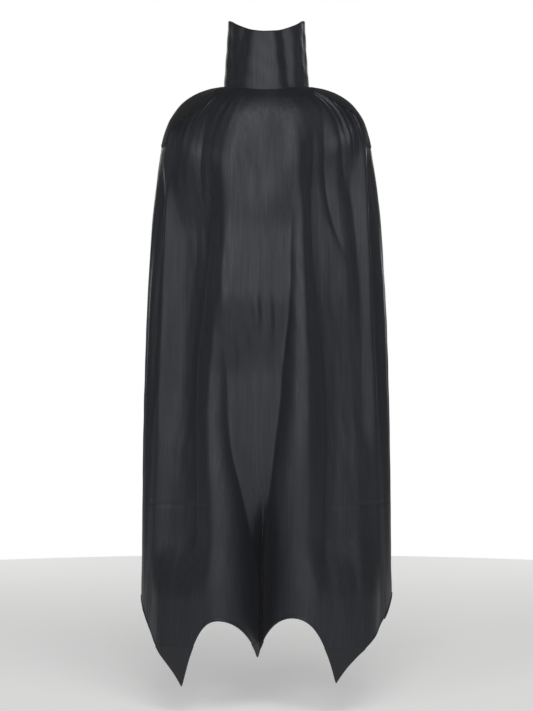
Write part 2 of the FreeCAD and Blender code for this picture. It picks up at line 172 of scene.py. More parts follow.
def interlockKnit():
    # Fine polyester interlock knit: matte, with small rows of loops that break up any gloss
    material, tree, shader = newMaterial(
        "interlockKnit", **{"Roughness": knit["roughness"], "Specular IOR Level": 0.2,
                            "Sheen Weight": 0.08, "Sheen Roughness": 0.6})
    where = addNode(tree, "ShaderNodeTexCoord")
    loops = addNode(tree, "ShaderNodeTexVoronoi", {0: where.outputs["Object"]},
                    inputs={"Scale": 1 / knit["rib"]})
    mottle = addNode(tree, "ShaderNodeTexNoise", {0: where.outputs["Object"]},
                     inputs={"Scale": 60.0, "Detail": 3.0})
    mixed = addNode(tree, "ShaderNodeMix", {2: loops.outputs["Distance"], 3: mottle.outputs[0]},
                    data_type="FLOAT", inputs={0: 0.5})
    colour = colourRamp(tree, mixed.outputs[0], [(0.2, knit["dark"]), (0.75, knit["light"])])
    tree.links.new(colour, shader.inputs["Base Color"])
    bump = addNode(tree, "ShaderNodeBump", {"Height": loops.outputs["Distance"]},
                   inputs={"Strength": 0.5, "Distance": 0.001})
    tree.links.new(bump.outputs[0], shader.inputs["Normal"])
    return material


def wovenTape(name, dark, light, spacing, roughness=0.8):
    # Narrow woven polyester tape: a tight plain weave, seen as a faint grid
    material, tree, shader = newMaterial(
        name, **{"Roughness": roughness, "Specular IOR Level": 0.3, "Sheen Weight": 0.1})
    where = addNode(tree, "ShaderNodeTexCoord")
    weave = addNode(tree, "ShaderNodeTexWave", {0: where.outputs["Object"]},
                    bands_direction="DIAGONAL",
                    inputs={"Scale": 0.3 / spacing, "Distortion": 1.5, "Detail": 2.0})
    colour = colourRamp(tree, weave.outputs[1], [(0.1, dark), (0.9, light)])
    tree.links.new(colour, shader.inputs["Base Color"])
    bump = addNode(tree, "ShaderNodeBump", {"Height": weave.outputs[1]},
                   inputs={"Strength": 0.4, "Distance": 0.0004})
    tree.links.new(bump.outputs[0], shader.inputs["Normal"])
    return material


satinCloth = polyesterSatin("polyesterSatin")
knitCloth = interlockKnit()
facingCloth = wovenTape("wovenFacing", "#1f2024", "#2c2d31", 0.0012, 0.7)
bindingCloth = wovenTape("twillBinding", "#26302d", "#39433f", 0.0015)
labelCloth = wovenTape("wovenLabel", "#c9c8c2", "#dedcd6", 0.0008, 0.55)
buckram = wovenTape("stiffenedBuckram", "#b6b3a8", "#cbc8bd", 0.0022)
threadCloth = wovenTape("spunThread", "#1d1e20", "#2b2c2f", 0.0006, 0.6)
loopPile = wovenTape("brushedLoopPile", "#0f0f10", "#1d1d1f", 0.0009, 0.95)
hookPile = wovenTape("mouldedNylonHooks", "#101011", "#232325", 0.0011, 0.5)
print("materials made")


def smooth(xs, ys, x):
    # a curve through the points (xs, ys), with no corners
    xs, ys, x = np.asarray(xs, float), np.asarray(ys, float), np.asarray(x, float)
    slope = np.gradient(ys, xs)
    x = np.clip(x, xs[0], xs[-1])
    i = np.clip(np.searchsorted(xs, x, side="right") - 1, 0, len(xs) - 2)
    step = xs[i + 1] - xs[i]
    t = (x - xs[i]) / step
    return (ys[i] * (1 + 2 * t) * (1 - t) ** 2 + slope[i] * step * t * (1 - t) ** 2
            + ys[i + 1] * t * t * (3 - 2 * t) + slope[i + 1] * step * t * t * (t - 1))


def fade(x, low, high):
    t = np.clip((np.asarray(x, float) - low) / (high - low), 0, 1)
    return t * t * (3 - 2 * t)


# How the cloth falls: for each share of the length down the cloth, the half width and height at
# the side, the depth and height at centre back and at centre front, all as shares.
fall = {
    "down": [0, .026, .05, .08, .102, .1215, .149, .184, .253, .389, .526, .664, .802, .935, 1.083],
    "width": [.331, .442, .544, .658, .718, .758, .80, .832, .878, .926, .953, .968, .976, .979, .979],
    "sideHigh": [.009, .005, -.003, -.02, -.037, -.0545, -.08, -.1145, -.183, -.32, -.457, -.594,
                 -.731, -.868, -1.0125],
    "back": [.363, .464, .531, .59, .621, .642, .664, .691, .727, .778, .817, .859, .901, .93, .954],
    "backHigh": [0, -.021, -.041, -.07, -.091, -.1106, -.137, -.172, -.241, -.377, -.514, -.651,
                 -.789, -.921, -1.069],
    "front": [.483, .55, .588, .645, .683, .712, .744, .782, .839, .915, .955, .975, .985, .99, .995],
    "frontHigh": [-.009, -.0335, -.056, -.086, -.107, -.126, -.153, -.1885, -.257, -.393, -.53,
                  -.667, -.806, -.9385, -1.086],
    "yokeSeamHigh": -0.092,   # the yokes' lower edge
    # the yokes' back seam and the open front edge, in degrees round from centre back
    "yokeDown": [0, .023, .052, .08, .109, .1285, .16],
    "yokeLeft": [78, 62, 52, 55, 62.5, 70, 71],
    "yokeRight": [78, 60, 58, 65.5, 74, 74, 74],
    "edgeDown": [0, .09, .19, .32, .63, 1.0],
    "edgeTurn": [176, 171.5, 167.5, 163.5, 159.5, 157],
}


def seamLine(side, high):
    # the side seam is the straight line that the front panel's joint turns about
    joint = joints["left_front_swing" if side < 0 else "right_front_swing"]
    point, axis = joint["pos_m"], joint["axis"]
    step = (high - point[2]) / axis[2]
    return point[0] + axis[0] * step, point[1] + axis[1] * step


def fallAt(name, down):
    return smooth(fall["down"], fall[name], down)


def plainSurface(turn, down):
    # The cloth with no folds. turn is the angle from centre back, positive to the wearer's right.
    turn, down = np.broadcast_arrays(np.asarray(turn, float), np.asarray(down, float))
    cosine = np.cos(turn)
    behind = cosine > 0
    share = cosine ** 2
    side = fallAt("sideHigh", down) * length
    middle = np.where(behind, fallAt("backHigh", down), fallAt("frontHigh", down)) * length
    high = side + (middle - side) * share
    deep = np.where(behind, fallAt("back", down) * backDepth, fallAt("front", down) * frontDepth)
    x = fallAt("width", down) * halfWidth * np.sin(turn)
    y = -deep * cosine
    # pulled onto the straight seam line, so that the seam is where the panel turns
    for sign in (-1, 1):
        seamX, seamY = seamLine(sign, high)
        wide = fallAt("width", down) * halfWidth
        at = np.arcsin(np.clip(abs(seamX) / wide, 0, 0.999))
        away = (seamY + fallAt("back", down) * backDepth * np.cos(at))
        y = y + away * np.exp(-((sign * turn - at) / 0.5) ** 2) * fade(down, 0.09, 0.16)
    return np.stack([x, y, high], axis=-1)


def seamTurn(side, down):
    # where the side seam lies, round from centre back
    down = np.asarray(down, float)
    high = fallAt("sideHigh", down) * length
    wide = fallAt("width", down) * halfWidth
    for _ in range(4):
        x, _y = seamLine(side, high)
        turn = np.arcsin(np.clip(abs(x) / wide, 0, 0.995))
        high = plainSurface(side * turn, down)[..., 2]
    return turn


def backEdge(side, down):
    # the back panel's edge: the yoke seam above, the side seam below
    yoke = smooth(fall["yokeDown"], fall["yokeLeft" if side < 0 else "yokeRight"], down) * degree
    return yoke + (seamTurn(side, down) - yoke) * fade(down, 0.135, 0.175)


def frontEdge(down):
    return smooth(fall["edgeDown"], fall["edgeTurn"], down) * degree


# Soft folds of the back. Each has a depth, the half breadths of its two flanks, in metres, and a
# run of (x, z) down the cloth, as shares of the half width and the length.
backFolds = [
    (-0.036, 0.120, 0.030,
     [(-.43, -.12), (-.465, -.20), (-.52, -.29), (-.575, -.374), (-.62, -.44), (-.635, -.53),
      (-.63, -.61), (-.625, -.70), (-.63, -.76), (-.64, -.84)]),
    (-0.032, 0.026, 0.110,
     [(-.35, -.36), (-.34, -.45), (-.33, -.53), (-.30, -.605), (-.223, -.67), (-.15, -.745),
      (-.09, -.81), (-.06, -.90)]),
    (-0.032, 0.110, 0.028,
     [(.20, -.12), (.19, -.25), (.185, -.33), (.17, -.39), (.14, -.45), (.115, -.52),
      (.065, -.60), (.02, -.68), (-.03, -.77), (-.05, -.88)]),
    (-0.034, 0.030, 0.130,
     [(.37, -.05), (.37, -.16), (.385, -.26), (.41, -.33), (.45, -.40), (.49, -.47),
      (.515, -.56), (.51, -.65), (.50, -.74), (.485, -.84)]),
    (-0.056, 0.027, 0.032,
     [(-.03, -.66), (-.04, -.74), (-.055, -.82), (-.07, -.88), (-.085, -.96)]),
    (-0.007, 0.010, 0.040,
     [(.41, -.02), (.44, -.07), (.49, -.15), (.57, -.23), (.68, -.30)]),
    (-0.007, 0.007, 0.014,
     [(.51, -.03), (.56, -.07), (.62, -.12), (.70, -.20)]),
    (-0.006, 0.014, 0.008,
     [(-.42, -.02), (-.46, -.06), (-.50, -.12), (-.54, -.20)]),
    (-0.013, 0.046, 0.046,
     [(-.04, -.01), (-.04, -.10), (-.02, -.20)]),
    (-0.016, 0.020, 0.040,
     [(-.80, -.12), (-.82, -.28), (-.84, -.42), (-.87, -.60)]),
    (-0.014, 0.040, 0.018,
     [(.74, -.12), (.80, -.30), (.84, -.45), (.86, -.62)]),
    (-0.005, 0.006, 0.014,
     [(-.46, -.34), (-.50, -.44), (-.54, -.52), (-.58, -.60)]),
    (0.013, 0.042, 0.036,
     [(-.26, -.01), (-.28, -.12), (-.32, -.24), (-.36, -.36), (-.45, -.50), (-.44, -.64),
      (-.40, -.78), (-.36, -.90)]),
    (0.012, 0.038, 0.040,
     [(.20, -.01), (.22, -.14), (.26, -.26), (.28, -.40), (.29, -.56), (.30, -.70),
      (.30, -.82), (.30, -.90)]),
    (0.012, 0.028, 0.030,
     [(.62, -.14), (.70, -.30), (.76, -.46), (.78, -.60), (.80, -.76), (.78, -.90)]),
    (0.010, 0.030, 0.024,
     [(-.70, -.10), (-.74, -.26), (-.80, -.44), (-.82, -.58), (-.83, -.74), (-.82, -.92)]),
]
# Folds of the sides and the front, which hang straighter: depth, half breadth in degrees, and a
# run of (degrees round, z).
sideFolds = [
    (-0.013, 7, [(110, -.14), (112, -.45), (115, -.80), (114, -.95)]),
    (0.011, 7, [(124, -.11), (126, -.40), (127, -.95)]),
    (-0.016, 7, [(139, -.10), (141, -.36), (142, -.62), (140, -.95)]),
    (0.010, 6, [(153, -.09), (152, -.40), (150, -.95)]),
]
# Fine crumpling, as many faint waves that run in all directions
crumple = {"seed": 11, "waves": 26, "height": 0.00009, "shortest": 0.030, "longest": 0.110,
           # a rumpled patch: its place as shares of the half width and the length, and its reach
           "patch": (-0.15, -0.40, 0.09), "patchHeight": 7.0,
           # a pressed fold line across the cloth, where it lay folded: its height, depth and breadth
           "pressed": (-0.70, -0.0011, 0.0035)}


def along(path, high):
    places = np.array(path)[::-1]
    heights = places[:, 1] * length
    return smooth(heights, places[:, 0], high), heights[0], heights[-1]


def foldDepth(turn, down):
    plain = plainSurface(turn, down)
    x, high = plain[..., 0], plain[..., 2]
    total = np.zeros_like(x)
    front = fade(np.cos(turn), 0.25, -0.1)
    for depth, left, right, path in backFolds:
        line, low, top = along(path, high)
        share = fade(high, low - 0.02, low + 0.12) if low > -0.85 * length else np.ones_like(high)
        share = share * (1 - fade(high, top - 0.16, top + 0.02))
        off = (x - line * halfWidth) / np.where(x < line * halfWidth, left, right)
        # a crest is rounded, and a valley comes to a soft crease
        shape = np.exp(-off ** 2) if depth > 0 else np.exp(0.16 - np.sqrt(off ** 2 + 0.0256))
        total += depth * share * shape * (1 - front)
    for depth, breadth, path in sideFolds:
        line, low, top = along(path, high)
        share = 1 - fade(high, top - 0.12, top + 0.02)
        for sign in (-1, 1):
            off = (sign * turn / degree - line - 3 * (sign > 0)) / breadth
            total += depth * share * np.exp(-off ** 2) * front
    total *= 1 - fade(np.abs(x) / halfWidth, 0.80, 0.96) * (1 - front)
    # nothing moves the cloth off the side seam
    for sign in (-1, 1):
        seam = seamTurn(sign, down)
        held = np.exp(-((sign * turn - seam) / 0.10) ** 2) * fade(down, 0.10, 0.18)
        total *= 1 - held
    chance = np.random.default_rng(crumple["seed"])
    around = turn * 0.22
    patchX, patchHigh, reach = crumple["patch"]
    rumpled = np.exp(-((x - patchX * halfWidth) / reach) ** 2
                     - ((high - patchHigh * length) / reach) ** 2) * (1 - front)
    height = crumple["height"] * (1 + crumple["patchHeight"] * rumpled)
    level, deep, breadth = crumple["pressed"]
    pressed = np.exp(-((high - level * length) / breadth) ** 2) * fade(np.abs(x) / halfWidth, 0.3, 0.6)
    total += deep * pressed * (1 - fade(np.abs(x) / halfWidth, 0.88, 0.95))
    for _ in range(crumple["waves"]):
        size = chance.uniform(crumple["shortest"], crumple["longest"])
        way, start, patch = chance.uniform(0, math.pi), chance.uniform(0, 6), chance.uniform(3, 9)
        place = around * math.cos(way) * 1.6 + high * math.sin(way) * 0.5
        wave = np.sin(place * 2 * math.pi / size + start)
        total += height * wave * (0.5 + 0.5 * np.sin(patch * high + 7 * around + start * 2))
    return total


# Small pleats where the satin is drawn into the yokes: the depth on the left (-1) and on the
# right (1), and how far down they reach
pleats = {-1: 0.0012, 1: 0.0034, "reach": 0.045}


def gathers(turn, down):
    turn, down = np.broadcast_arrays(np.asarray(turn, float), np.asarray(down, float))
    total = np.zeros(turn.shape)
    for sign, word in ((-1, "yokeLeft"), (1, "yokeRight")):
        round_ = sign * turn / degree
        lowest = int(np.argmin(fall[word][:5]))
        seamTurns = np.array(fall[word][lowest:6]) + np.arange(6 - lowest) * 1e-3
        level = np.interp(round_, seamTurns, fall["yokeDown"][lowest:6])
        below = np.clip(down - level, 0, None)
        near = np.exp(-below / pleats["reach"]) * fade(round_, seamTurns[0] - 16, seamTurns[0] + 2)
        near = near * fade(down, 0.015, 0.04) * (1 - fade(down, 0.16, 0.24))
        near = near * fade(backEdge(sign, down) - sign * turn, -0.004, 0.03)
        wave = 0.6 * np.sin(turn * 118 + 3 * np.sin(turn * 23)) + 0.4 * np.sin(turn * 71 + 1)
        total += pleats[sign] * near * wave
    return total


def cloth(turn, down):
    turn, down = np.broadcast_arrays(np.asarray(turn, float), np.asarray(down, float))
    step = 1e-3
    plain = plainSurface(turn, down)
    around = plainSurface(turn + step, down) - plainSurface(turn - step, down)
    fallen = plainSurface(turn, down + step) - plainSurface(turn, np.clip(down - step, 0, None))
    out = np.cross(fallen, around)
    out /= np.maximum(np.linalg.norm(out, axis=-1, keepdims=True), 1e-12)
    return plain + out * (foldDepth(turn, down) + gathers(turn, down))[..., None]


# The hem, as curves from the wearer's left to right: an outer run, arches and points, in shares of
# the half width and the length. Every run has two ends and the two handles between them.
hem = {
    "back": [
        [(-.985, -.855), (-.96, -.905), (-.79, -.945), (-.655, -.996)],
        [(-.655, -.996), (-.60, -.945), (-.53, -.885), (-.367, -.885)],
        [(-.367, -.885), (-.25, -.885), (-.14, -.915), (-.095, -.952)],
        [(-.095, -.952), (-.03, -.915), (.08, -.880), (.213, -.880)],
        [(.213, -.880), (.37, -.880), (.475, -.935), (.532, -.988)],
        [(.532, -.988), (.66, -.945), (.93, -.905), (.985, -.855)],
    ],
    # the front panels' hems, from the side to the front edge
    "left": [
        [(-.985, -.855), (-.96, -.905), (-.82, -.93), (-.70, -.975)],
        [(-.70, -.975), (-.66, -.93), (-.55, -.89), (-.35, -.885)],
    ],
    "right": [
        [(.985, -.855), (.94, -.90), (.78, -.93), (.60, -.975)],
        [(.60, -.975), (.56, -.93), (.48, -.89), (.33, -.885)],
    ],
}


def hemLine(runs, samples=80):
    t = np.linspace(0, 1, samples)[:, None]
    points = []
    for run in runs:
        a, b, c, d = (np.array(p) * (halfWidth, length) for p in run)
        points.append(a * (1 - t) ** 3 + 3 * b * t * (1 - t) ** 2 + 3 * c * t * t * (1 - t) + d * t ** 3)
    return np.concatenate(points)


def downTo(turnAt, highAt, low=0.0, top=1.08):
    # how far down each column reaches a wanted height: turnAt(down) and highAt(x) are given
    a = np.full(turnAt(0.5).shape, low)
    b = np.full(turnAt(0.5).shape, top)
    for _ in range(40):
        middle = (a + b) / 2
        point = plainSurface(turnAt(middle), middle)
        above = point[..., 2] > highAt(point[..., 0])
        a, b = np.where(above, middle, a), np.where(above, b, middle)
    return (a + b) / 2


def meshFrom(name, points, faces, material):
    mesh = bpy.data.meshes.new(name)
    mesh.from_pydata([tuple(p) for p in points], [], faces)
    mesh.validate()
    mesh.polygons.foreach_set("use_smooth", [True] * len(mesh.polygons))
    mesh.materials.append(material)
    piece = bpy.data.objects.new(name, mesh)
    bpy.context.scene.collection.objects.link(piece)
    return piece


def gridFaces(rows, columns):
    return [(r * columns + c, r * columns + c + 1, (r + 1) * columns + c + 1, (r + 1) * columns + c)
            for r in range(rows - 1) for c in range(columns - 1)]


def sheetFrom(name, grid, material, thick=0.0007, side=-1):
    rows, columns = grid.shape[:2]
    faces = gridFaces(rows, columns)
    if side > 0:
        faces = [f[::-1] for f in faces]
    piece = meshFrom(name, grid.reshape(-1, 3), faces, material)
    solid = piece.modifiers.new("thickness", "SOLIDIFY")
    solid.thickness = thick
    solid.offset = -1
    return piece


def liftedCloth(turn, down, lift):
    # the cloth's surface moved out along its own normal
    turn, down = np.broadcast_arrays(np.asarray(turn, float), np.asarray(down, float))
    step = 1.5e-3
    around = cloth(turn + step, down) - cloth(turn - step, down)
    fallen = cloth(turn, down + step) - cloth(turn, np.clip(down - step, 0, None))
    out = np.cross(fallen, around)
    out /= np.maximum(np.linalg.norm(out, axis=-1, keepdims=True), 1e-12)
    return cloth(turn, down) + out * np.asarray(lift)[..., None]


# one stitch, from end to end: the share of its length, its breadth and its rise in thread radii
stitchShape = [(0, 0.25, -0.6), (0.2, 0.9, 0.4), (0.5, 1.0, 0.7), (0.8, 0.9, 0.4), (1, 0.25, -0.6)]


def thread(name, points, lifted, spec):
    # a run of stitches along points on the cloth: each is a short thread with pointed ends
    points, lifted = np.asarray(points), np.asarray(lifted)
    steps = np.linalg.norm(np.diff(points, axis=0), axis=1)
    run = np.concatenate([[0], np.cumsum(steps)])
    starts = np.arange(spec["pitch"], run[-1] - spec["pitch"], spec["pitch"])

    def at(values, where):
        return np.stack([np.interp(where, run, values[:, i]) for i in range(3)], axis=1)

    a, b = at(points, starts), at(points, starts + spec["stitch"])
    ahead = b - a
    size = np.linalg.norm(ahead, axis=1, keepdims=True)
    ahead /= np.maximum(size, 1e-9)
    out = at(lifted, starts) - a
    out /= np.maximum(np.linalg.norm(out, axis=1, keepdims=True), 1e-9)
    aside = np.cross(ahead, out)
    r = spec["radius"]
    rings = []
    for t, wide, rise in stitchShape:
        centre = a + (b - a) * t + out * r * rise
        for angle in np.arange(6) * math.pi / 3:
            rings.append(centre + (aside * math.cos(angle) + out * math.sin(angle)) * r * wide)
    verts = np.stack(rings, axis=1)
    faces = []
    for k in range(len(starts)):
        base = k * 30
        for ring in range(base, base + 24, 6):
            for i in range(6):
                j = (i + 1) % 6
                faces.append((ring + i, ring + j, ring + 6 + j, ring + 6 + i))
        faces.append(tuple(base + i for i in range(5, -1, -1)))
        faces.append(tuple(base + 24 + i for i in range(6)))
    return meshFrom(name, verts.reshape(-1, 3), faces, threadCloth)


topStitch = {"pitch": 0.0042, "stitch": 0.0030, "radius": 0.00038}


def clothThread(name, turns, downs, lift=0.0006):
    points = liftedCloth(turns, downs, lift)
    return thread(name, points, liftedCloth(turns, downs, lift + 0.002), topStitch)


def standFor(node):
    # hides the part in the record that a sheet of cloth stands for
    if node:
        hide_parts(node)


def finishPiece(piece, body, node):
    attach(piece, body)
    standFor(node)


def turning(piece):
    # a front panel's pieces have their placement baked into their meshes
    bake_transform(piece)


sides = {"left": -1, "right": 1}
backCloth = {"rows": 320, "perRun": [44, 44, 46, 46, 44, 48], "neckDip": 0.004}


def backColumns():
    line = hemLine(hem["back"])
    order = np.argsort(line[:, 0])
    xs, zs = line[order, 0], line[order, 1]
    ends = [run[0][0] for run in hem["back"]] + [hem["back"][-1][-1][0]]
    lowest = 0.98
    edge = {-1: float(backEdge(-1, lowest)), 1: float(backEdge(1, lowest))}
    wide = float(fallAt("width", lowest)) * halfWidth

    def share(x):
        side = -1 if x < 0 else 1
        turn = math.asin(min(abs(x) * halfWidth / wide, 0.999))
        return side * min(turn / edge[side], 1.0)

    keys = [share(x) for x in ends]
    keys[0], keys[-1] = -1.0, 1.0
    across = [np.linspace(a, b, n, endpoint=False)
              for a, b, n in zip(keys, keys[1:], backCloth["perRun"])]
    across = np.concatenate(across + [[1.0]])
    return across, downTo(lambda down: backTurn(across, down), lambda x: np.interp(x, xs, zs))


def backTurn(across, down):
    return np.where(across < 0, backEdge(-1, down), backEdge(1, down)) * across


backAcross, backBottom = backColumns()


def backGrid():
    t = np.linspace(0, 1, backCloth["rows"])[:, None] ** 1.2
    top = backCloth["neckDip"] * np.exp(-(backAcross / 0.42) ** 2) / length
    down = top + (backBottom - top) * t
    return cloth(backTurn(backAcross, down), down)


backPanel = sheetFrom("backPanel", backGrid(), satinCloth)
finishPiece(backPanel, "cape", "back_panel")
print("back panel hung")

frontCloth = {"rows": 240, "perRun": [60, 34]}
yokeCloth = {"rows": 70, "columns": 130, "lap": 0.0045, "lift": 0.0013, "lowerLap": 0.004}


def panelTurn(side, across, down):
    start = backEdge(side, down)
    return side * (start + (frontEdge(down) - start) * across)


def yokeBottom(side, across):
    return downTo(lambda down: panelTurn(side, across, down),
                  lambda x: fall["yokeSeamHigh"] * length, 0.0, 0.5)


def yokeGrid(side):
    # the yoke laps over the satin along its back seam and its lower seam, with its edge turned under
    across = np.linspace(0, 1, yokeCloth["columns"])
    rows = np.linspace(0, 1, yokeCloth["rows"])[:, None]
    low = yokeBottom(side, across) + yokeCloth["lowerLap"] / length
    down = low * rows
    lap = yokeCloth["lap"] / 0.2
    turn = panelTurn(side, across, down) - side * lap * (1 - across) ** 6 * fade(rows, -0.05, 0.12)
    edge = np.minimum(across * 0.30, (1 - rows) * 0.11)
    lift = yokeCloth["lift"] * np.sqrt(np.clip(edge / 0.0022, 0, 1)) * fade(rows, -0.02, 0.05)
    return liftedCloth(turn, down, lift)


def frontColumns(side):
    runs = hem["left" if side < 0 else "right"]
    line = hemLine(runs)
    # columns are spaced so that one of them ends in the hem's point
    point = abs(runs[0][-1][0]) * halfWidth
    lowest = 0.97
    pointTurn = math.pi - math.asin(point / (float(fallAt("width", lowest)) * halfWidth))
    start, end = float(backEdge(side, lowest)), float(frontEdge(lowest))
    key = (pointTurn - start) / (end - start)
    first, second = frontCloth["perRun"]
    across = np.concatenate([np.linspace(0, key, first, endpoint=False), np.linspace(key, 1, second)])
    order = np.argsort(line[:, 0])
    xs, zs = line[order, 0], line[order, 1]
    return across, downTo(lambda down: panelTurn(side, across, down), lambda x: np.interp(x, xs, zs))


# a narrow turned hem in section: height above the edge, and lift off the cloth
turnedEdge = [(.0062, .0001), (.0058, .0006), (.003, .0008), (.0006, .0008), (-.0004, .0002),
              (.0, -.0012), (.002, -.0016), (.0058, -.0015), (.0062, -.001)]


def hemBand(name, turns, downs):
    rows = [liftedCloth(turns, downs - high / length, lift) for high, lift in turnedEdge]
    return sheetFrom(name, np.array(rows), satinCloth, 0.0003)


tips = {
    # the facing's upper edge at each point of the hem, as a share of the length
    "top": -0.930, "centreTop": -0.926, "frontTop": -0.928, "rows": 26,
}


def tipFacing(name, turnAt, across, bottom, top, pick):
    # a matte facing folded over one point of the hem, outside and in
    upper = downTo(lambda down: turnAt(across, down), lambda x: top(x))
    inside = np.flatnonzero((bottom > upper + 0.0008) & pick)
    columns, low, high = across[inside], bottom[inside], upper[inside]
    t = np.linspace(0, 1, tips["rows"])[:, None]
    down = high + (low + 0.0009 - high) * t
    outer = liftedCloth(turnAt(columns, down), down, 0.0011 * np.sqrt(np.clip(t * 12, 0, 1)) + 0 * down)
    inner = liftedCloth(turnAt(columns, down), down, -0.0021 + 0 * down)[::-1]
    return sheetFrom(name, np.concatenate([outer, inner]), facingCloth, 0.0003)


sewing = {
    "hemStitch": 0.0035,     # the hem's stitches, as a share of the length above its edge
    "edgeStitch": 0.016,     # the stitches beside the front edge and the side seam, in radians
    "yokeStitch": 0.004,     # the stitches inside the yoke's back seam, in radians
    "hemLift": 0.0009, "yokeLift": 0.0016, "seamLift": 0.0004,   # how far thread stands off
    "edgeRadius": 0.24,      # turns the front edge's width in metres into an angle
    "sideDown": (0.118, 0.93),
}
# the side seam's turnings, pressed open inside, cover the seam when the panel swings out: where
# they start, how far they stop above the hem, half their width in radians, and how deep they lie
turnedSeam = {"top": 0.116, "clear": 0.004, "wide": 0.034, "strips": 7, "lift": -0.0013}


for word, side in sides.items():
    yoke = sheetFrom(f"{word}ShoulderYoke", yokeGrid(side), knitCloth, 0.0009, side)
    finishPiece(yoke, "cape", f"{word}_shoulder_yoke")
    down = np.linspace(0.006, float(yokeBottom(side, np.array([0.0]))[0]), 200)
    seam = clothThread(f"{word}YokeStitches", side * (backEdge(side, down) + sewing["yokeStitch"]), down,
                       sewing["yokeLift"])
    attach(seam, "cape")
    across = np.linspace(0, 1, 200)
    low = yokeBottom(side, across) - 0.002
    seam = clothThread(f"{word}BustStitches", panelTurn(side, across, low), low, sewing["yokeLift"])
    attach(seam, "cape")

    across, bottom = frontColumns(side)
    top = yokeBottom(side, across)
    down = top + (bottom - top) * np.linspace(0, 1, frontCloth["rows"])[:, None]
    panel = sheetFrom(f"{word}FrontPanel", cloth(panelTurn(side, across, down), down), satinCloth,
                      0.0007, side)
    turning(panel)
    standFor(f"{word}_front_panel")

    hemmed = hemBand(f"{word}FrontHem", panelTurn(side, across, bottom), bottom)
    turning(hemmed)
    standFor(None)
    above = bottom - sewing["hemStitch"]
    stitched = clothThread(f"{word}FrontHemStitches", panelTurn(side, across, above), above,
                           sewing["hemLift"])
    turning(stitched)
    # the front edge, turned back and stitched
    down = np.linspace(float(top[-1]), float(bottom[-1]), 420)
    rows = [liftedCloth(side * (frontEdge(down) - high / sewing["edgeRadius"]), down, lift)
            for high, lift in turnedEdge]
    edge = sheetFrom(f"{word}FrontEdge", np.array(rows), satinCloth, 0.0003, -side)
    turning(edge)
    standFor(None)
    stitched = clothThread(f"{word}FrontEdgeStitches", side * (frontEdge(down) - sewing["edgeStitch"]),
                           down, sewing["hemLift"])
    turning(stitched)
    # the side seam lies on the line that the panel turns about
    down = np.linspace(*sewing["sideDown"], 420)
    stitched = clothThread(f"{word}SideStitches", side * (seamTurn(side, down) - sewing["edgeStitch"]),
                           down, sewing["seamLift"])
    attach(stitched, "cape")

    down = np.linspace(turnedSeam["top"], float(bottom[0]) - turnedSeam["clear"], 300)
    rows = [liftedCloth(side * (seamTurn(side, down) + off), down, turnedSeam["lift"] + 0 * down)
            for off in np.linspace(-turnedSeam["wide"], turnedSeam["wide"], turnedSeam["strips"])]
    turnings = sheetFrom(f"{word}SeamTurnings", np.array(rows), satinCloth, 0.0003, -side)
    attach(turnings, "cape")
    standFor(None)

    facing = tipFacing(f"{word}FrontTipFacing", lambda a, d, side=side: panelTurn(side, a, d),
                       across, bottom, lambda x: tips["frontTop"] * length + 0 * x,
                       np.ones(len(across), bool))
    finishPiece(facing, f"{word}_front", f"{word}_front_tip_facing")
print("yokes and front panels hung")

backHem = hemBand("backHem", backTurn(backAcross, backBottom), backBottom)
finishPiece(backHem, "cape", None)
above = backBottom - sewing["hemStitch"]
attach(clothThread("backHemStitches", backTurn(backAcross, above), above, sewing["hemLift"]), "cape")
tipX = {"left": hem["back"][0][-1][0], "centre": hem["back"][2][-1][0], "right": hem["back"][4][-1][0]}
columnX = cloth(backTurn(backAcross, backBottom), backBottom)[:, 0] / halfWidth
for word, x in tipX.items():
    top = tips["centreTop" if word == "centre" else "top"] * length
    facing = tipFacing(f"{word}TipFacing", backTurn, backAcross, backBottom,
                       lambda wide, top=top, x=x: top - 0.10 * (np.abs(wide) - abs(x) * halfWidth),
                       np.abs(columnX - x) < 0.40)
    finishPiece(facing, "cape", f"{word}_tip_facing")
print("hems turned and points faced")

# The collar: an oval band whose top edge dips at the back and the front
collar = {
    "topHalf": 0.083, "topDeep": 0.072, "fullHeight": 0.170, "dip": 0.124, "columns": 300, "rows": 70,
    "underEnd": -193, "split": 93, "overEnd": 193, "lap": 0.0056, "depth": 0.0028, "endLow": 0.010,
    # soft creases: degrees round at the top and at the base, depth, and half breadth in degrees
    "creases": [(6, 17, -0.0030, 9), (25, 31, 0.0048, 9), (48, 45, -0.0020, 9), (-33, -50, 0.0034, 10),
                (-16, -22, -0.0014, 12), (-66, -62, 0.0018, 8), (72, 68, 0.0018, 8), (148, 156, 0.0020, 8),
                (-146, -152, 0.0022, 8), (118, 114, -0.0020, 12), (-118, -124, -0.0020, 12)],
}


def lapAt(turn):
    # how far the overlapping end stands off the one beneath it
    return collar["lap"] * fade(turn, collar["split"] + 2, collar["split"] + 62)


def collarPoint(turn, high, depth):
    share = high / collar["fullHeight"]
    wide = collarHalf + (collar["topHalf"] - collarHalf) * share
    deep = collarDeep + (collar["topDeep"] - collarDeep) * share
    bend = np.zeros_like(turn)
    rounded = 0.35 + 0.65 * np.sin(np.clip(share, 0, 1) * 2.6)
    for top, base, size, breadth in collar["creases"]:
        centre = base + (top - base) * share / 0.8
        bend -= size * np.exp(-((turn - centre) / breadth) ** 2) * rounded
    bend += 0.0007 * np.sin(turn / 9 + share * 14) * np.sin(share * 9 + turn / 31)
    out = lapAt(turn) - depth + bend
    angle = turn * degree
    return np.stack([(wide + out) * np.sin(angle), -(deep + out) * np.cos(angle),
                     high + 0 * angle], axis=-1)


def collarTop(turn):
    corner = collarHigh - collar["dip"]
    return collar["dip"] + corner * np.abs(np.sin(turn * degree)) ** 2.2


